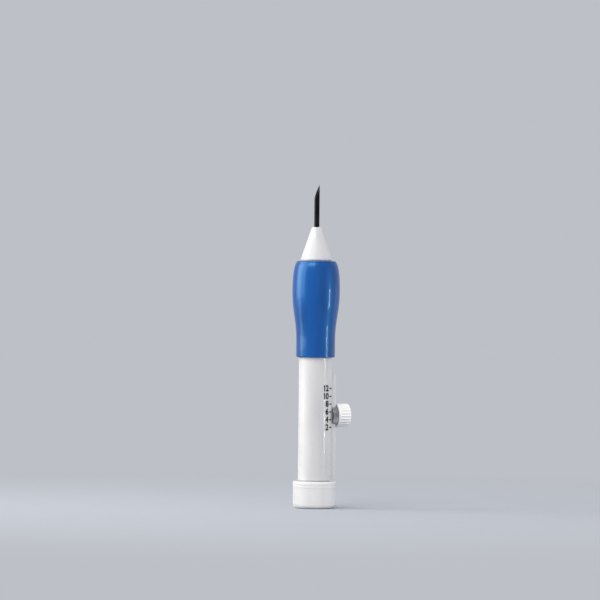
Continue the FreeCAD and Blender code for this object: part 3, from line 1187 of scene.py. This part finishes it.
@dataclass
class LockKnob:
    """Knob ribbed along its axis beyond a plain flange, moulded over the screw's head."""

    finish: Material
    screw_finish: Material
    flange: float = 0.9 * MM
    edge: float = 0.6 * MM
    flange_edge: float = 0.15 * MM
    grooves: int = 24
    groove_radius: float = 0.45 * MM
    groove_depth: float = 0.35 * MM
    crest_rounding: float = 0.08 * MM
    columns_per_groove: int = 16
    shank: float = 1.25 * MM
    head: float = 2.25 * MM
    head_rise: float = 1.5 * MM
    head_length: float = 1.7 * MM
    gap: float = 0.01 * MM
    thread_pitch: float = 0.45 * MM
    thread_depth: float = 0.22 * MM
    thread_rows: int = 200
    thread_columns: int = 48

    def ribbed_radius(self, radius: float, angle: Array) -> Array:
        """Radius of the ribbed prism at each angle.

        Within a groove of radius q whose axis lies at c, the near wall is at
        c cos t - sqrt(q^2 - (c sin t)^2), t being the angle from the groove's middle. A smooth
        minimum with the plain radius rounds the crests: (a + b - sqrt((a - b)^2 + s^2)) / 2.

        Args:
            radius: The plain radius.
            angle: Angles about the knob's axis.

        Returns:
            The radius at each angle.
        """
        axis = radius - self.groove_depth + self.groove_radius
        pitch = TURN / self.grooves
        off = (angle % pitch) - pitch / 2
        chord = self.groove_radius**2 - (axis * np.sin(off)) ** 2
        outside = radius + 2 * self.crest_rounding
        wall = np.where(chord > 0, axis * np.cos(off) - np.sqrt(np.maximum(chord, 0)), outside)
        wall = np.minimum(wall, outside)
        return (wall + radius - np.hypot(wall - radius, self.crest_rounding)) / 2

    def knob(self) -> Piece:
        """Builds the knob: the smaller of the turned outline's and the ribbed prism's radius.

        Returns:
            The finished knob.
        """
        extent = Extent.of("lock_knob", Axis.KNOB)
        radius, base, end = extent.radius, extent.foot, extent.top
        head_foot = base + self.head_rise - self.gap
        head_top = base + self.head_rise + self.head_length + self.gap
        rib_foot = base + self.flange
        outline = rounded_outline(
            [
                (self.shank + self.gap, base, 0),
                (radius, base, self.flange_edge),
                (radius, rib_foot, 0),
                (radius - self.gap, rib_foot, 0),
                (radius, rib_foot + self.gap, 0),
                (radius, end, self.edge),
                (0, end, 0),
                (0, head_top, 0),
                (self.head + self.gap, head_top, 0),
                (self.head + self.gap, head_foot, 0),
                (self.shank + self.gap, head_foot, 0),
            ]
        )
        grid = turned(outline, self.grooves * self.columns_per_groove)
        angle = np.linspace(0, TURN, grid.shape[1])
        limit = np.where(grid[..., 2] > rib_foot + WELD, self.ribbed_radius(radius, angle), radius)
        reach = np.hypot(grid[..., 0], grid[..., 1])
        grid[..., :2] *= np.minimum(1, limit / np.maximum(reach, WELD))[..., None]
        surface = Surface(along_knob_axis(grid, extent.level))
        knob = surface.build("ribbed_knob", Body.KNOB, Slot.WHITE_PLASTIC, self.finish)
        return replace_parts(knob, "lock_knob")

    def screw(self) -> Piece:
        """Builds the screw: its shank's radius follows a triangle wave that climbs once a turn.

        Returns:
            The finished screw.
        """
        extent = Extent.of("lock_screw", Axis.KNOB)
        start, end = extent.foot, extent.top
        head_foot = end - self.head_length
        thread_start, thread_end = start + self.thread_pitch, head_foot - self.thread_pitch
        shank_rows = np.linspace(thread_start, thread_end, self.thread_rows)
        outline = np.vstack(
            [
                [(0, start), (self.shank - self.thread_depth, start)],
                points_at(self.shank, shank_rows),
                [(self.shank, head_foot), (self.head, head_foot), (self.head, end), (0, end)],
            ]
        )
        grid = turned(outline, self.thread_columns)
        angle = np.linspace(0, TURN, grid.shape[1])
        phase = (grid[..., 2] / self.thread_pitch - angle / TURN) % 1
        cut = self.thread_depth * np.abs(2 * phase - 1)
        on_shank = (grid[..., 2] >= shank_rows[0]) & (grid[..., 2] <= shank_rows[-1])
        reach = np.hypot(grid[..., 0], grid[..., 1])
        grid[..., :2] *= np.where(on_shank, 1 - cut / np.maximum(reach, WELD), 1)[..., None]
        surface = Surface(along_knob_axis(grid, extent.level))
        screw = surface.build("threaded_screw", Body.KNOB, Slot.SCREW_STEEL, self.screw_finish)
        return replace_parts(screw, "lock_screw")

    def build(self) -> list[Piece]:
        """Builds the knob and its screw."""
        return [self.knob(), self.screw()]


@dataclass(frozen=True)
class Lamp:
    """Rectangular lamp that faces the pen, placed as the camera sees it.

    Attributes:
        name: Name of the lamp.
        right: Distance to the right of the pen.
        up: Height above the floor.
        front: Distance from the pen towards the camera.
        width: Its width.
        height: Its height.
        power: Radiant power in watts.
        tint: Colour of its light.
        spread: Angle over which its light fans out: less than pi softens its edges in reflections.
        piece: Name of the only piece that it lights, with matt light and no glint, or None for all.
    """

    name: str
    right: float
    up: float
    front: float
    width: float
    height: float
    power: float
    tint: Colour = (1.0, 1.0, 1.0)
    spread: float = math.pi
    piece: Optional[str] = None


@dataclass
class Studio:
    """Pale floor, even sky, soft lamps and the camera at the photograph's angle."""

    azimuth: float = math.radians(-20)
    camera_height: float = 85.57 * MM
    camera_distance: float = 1.5
    view_width: float = 247 * MM
    sensor: float = 36.0
    nearest: float = 0.01
    farthest: float = 20.0
    aim_left: float = 6.61 * MM
    roll: float = math.radians(0.57)
    lamp_aim: float = 65 * MM
    floor_radius: float = 6.0
    floor_sides: int = 64
    sky: Colour = srgb(189, 192, 198)
    sky_light: float = 1.26
    paper: Colour = srgb(190, 193, 198)
    paper_shade: Colour = srgb(184, 187, 193)
    fibre_size: float = 12 * MM
    fade_start: float = 0.05
    fade_end: float = 0.35

    # Name, right, up, front, width, height and power of each lamp.
    LAMPS = (
        Lamp("panel", -0.95, 0.45, 0.1, 1.1, 1.1, 4.0, tint=(1.0, 0.99, 0.93), spread=math.radians(130)),
        Lamp("top", -0.35, 0.85, 0.6, 0.6, 0.5, 3.4),
        Lamp("left_strip", -0.3, 0.15, 0.0, 0.1, 0.3, 0.16),
        Lamp("right_strip", 0.373, 0.05, 0.143, 0.01, 0.1, 0.16),
        Lamp("back_strip", 0.37, 0.05, -0.16, 0.02, 0.1, 0.01),
        Lamp("knob_fill", 0.18, 0.26, 0.22, 0.03, 0.03, 0.55, piece="ribbed_knob"),
        Lamp("cap_fill", 0.16, 0.1, 0.35, 0.03, 0.03, 0.26, piece="cap"),
    )

    def directions(self) -> tuple[Vector, Vector]:
        """Unit vectors towards the camera and to the right in its view."""
        sine, cosine = math.sin(self.azimuth), math.cos(self.azimuth)
        return Vector((sine, -cosine, 0)), Vector((cosine, sine, 0))

    def add_camera(self) -> None:
        """Stands the camera level with the pen's upper half, turned a little about its line of sight."""
        back, right = self.directions()
        lens = bpy.data.cameras.new("camera")
        lens.sensor_width = self.sensor
        lens.lens = self.sensor * self.camera_distance / self.view_width
        lens.clip_start, lens.clip_end = self.nearest, self.farthest
        camera = bpy.data.objects.new("camera", lens)
        aim = Vector((0, 0, self.camera_height)) - right * self.aim_left
        turn = back.to_track_quat("Z", "Y").to_matrix().to_4x4() @ Matrix.Rotation(self.roll, 4, "Z")
        camera.matrix_world = Matrix.Translation(aim + back * self.camera_distance) @ turn
        bpy.context.scene.collection.objects.link(camera)
        bpy.context.scene.camera = camera

    def add_lamp(self, plan: Lamp) -> None:
        """Adds a lamp.

        Args:
            plan: Where the lamp stands and how it shines.
        """
        toward, sideways = self.directions()
        light = bpy.data.lights.new(plan.name, "AREA")
        light.color = plan.tint
        light.spread = plan.spread
        light.shape = "RECTANGLE"
        light.size, light.size_y = plan.width, plan.height
        light.energy = plan.power
        lamp = bpy.data.objects.new(plan.name, light)
        if plan.piece:
            lit = bpy.data.collections.new(plan.name)
            lit.objects.link(bpy.data.objects[plan.piece])
            lamp.light_linking.receiver_collection = lit
            lamp.visible_glossy = False
        position = toward * plan.front + sideways * plan.right + Vector((0, 0, plan.up))
        aim = Vector((0, 0, self.lamp_aim)) - position
        lamp.matrix_world = Matrix.Translation(position) @ aim.to_track_quat("-Z", "Y").to_matrix().to_4x4()
        bpy.context.scene.collection.objects.link(lamp)

    def sky_strength(self, graph: Graph) -> Wire:
        """Brightness of the sky: its own tone to the camera and in reflections, a little more as light.

        Args:
            graph: The graph that needs it.

        Returns:
            The strength.
        """
        seen = graph.node("ShaderNodeLightPath", {}, {}, output="Is Camera Ray")
        mirrored = graph.node("ShaderNodeLightPath", {}, {}, output="Is Glossy Ray")
        return self.sky_light + (1 - self.sky_light) * (seen + mirrored).clamped()

    def add_floor(self) -> None:
        """Builds a round floor whose far part takes the sky's tone, so that no horizon shows."""
        angle = np.linspace(0, TURN, self.floor_sides + 1)[:-1]
        ring = self.floor_radius * points_at(np.cos(angle), np.sin(angle), 0)
        mesh = bpy.data.meshes.new("floor")
        mesh.from_pydata(ring, [], [range(len(ring))])
        material, graph = new_graph("paper")
        where = graph.place()
        reach = graph.node("ShaderNodeVectorMath", {"operation": "LENGTH"}, {0: where}, output="Value")
        fibre = graph.noise(where, self.fibre_size, detail=3)
        tone = graph.mix(fibre, self.paper, self.paper_shade)
        near = graph.node("ShaderNodeBsdfDiffuse", {}, {"Color": tone})
        strength = self.sky_strength(graph)
        far = graph.node("ShaderNodeEmission", {}, {"Color": self.sky, "Strength": strength})
        share = reach.ramp(self.fade_start, self.fade_end)
        both = graph.node("ShaderNodeMixShader", {}, {0: share, 1: near, 2: far})
        graph.node("ShaderNodeOutputMaterial", {}, {"Surface": both})
        mesh.materials.append(material)
        floor = bpy.data.objects.new("floor", mesh)
        bpy.context.scene.collection.objects.link(floor)

    def add_world(self) -> None:
        """Soft even light all round."""
        world = bpy.data.worlds.new("sky")
        world.use_nodes = True
        bpy.context.scene.world = world
        graph = Graph(world.node_tree)
        strength = self.sky_strength(graph)
        light = graph.node("ShaderNodeBackground", {}, {"Color": self.sky, "Strength": strength})
        graph.node("ShaderNodeOutputWorld", {}, {"Surface": light})

    def build(self) -> None:
        """Builds the whole studio."""
        self.add_world()
        self.add_floor()
        for plan in self.LAMPS:
            self.add_lamp(plan)
        self.add_camera()
        bpy.context.scene.view_settings.view_transform = "Standard"


def main() -> None:
    """Builds the pen round the frame."""
    logging.basicConfig(level=logging.INFO, format="%(message)s")
    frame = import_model()
    nodes = frame["nodes"]
    white = MouldedPlastic(
        "white_plastic", srgb(228, 225, 223), srgb(221, 219, 218), glow=1.2 * MM
    ).material()
    blue = MouldedPlastic(
        "blue_grip", srgb(12, 74, 158), srgb(9, 58, 134), roughness=0.34, specular=1.0,
        specular_tint=(0.12, 0.68, 1.0),
    ).material()
    inner_white = MouldedPlastic(
        "slider_plastic", srgb(228, 227, 223), srgb(220, 219, 216), roughness=0.4, coat=0.0
    ).material()
    # The needle's near-black steel colour is painted dark reflection: it stands in for the dark
    # surroundings that the polished needle mirrors, not the steel's own colour.
    needle_steel = MachinedMetal(
        "needle_steel", srgb(44, 44, 47), srgb(26, 26, 28), roughness=0.16, line_width=0.05 * MM,
        stretch=(1.0, 1.0, 0.04),
    ).material()
    # The saddle washer's wide spread from bright to dark is painted reflection of its surroundings, not the
    # steel's own tone. Its cloudy patches are moved so that its lower part comes out lighter and its upper
    # part darker.
    saddle_steel = MachinedMetal(
        "saddle_steel", srgb(214, 214, 216), srgb(92, 92, 96), roughness=0.22, line_width=0.08 * MM,
        groove=0.003 * MM, cloud_shift=(0.0, 3.0, 0.0),
    ).material()
    screw_steel = MachinedMetal("screw_steel", srgb(190, 190, 188), srgb(150, 150, 148)).material()
    brass = MachinedMetal("insert_brass", srgb(214, 180, 108), srgb(178, 142, 78)).material()
    ink = PrintInk().material()
    EndCap(white).build()
    Barrel(white).build()
    DepthScale(ink).build()
    GripSleeve(blue).build()
    NoseCone(white).build()
    Needle(needle_steel).build()
    SaddleWasher(saddle_steel).build()
    LockKnob(white, screw_steel).build()
    dress_node(nodes, "needle_carrier", inner_white)
    dress_node(nodes, "needle_hub", inner_white)
    dress_node(nodes, "threaded_insert", brass)
    Studio().build()


if __name__ == "__main__":
    main()
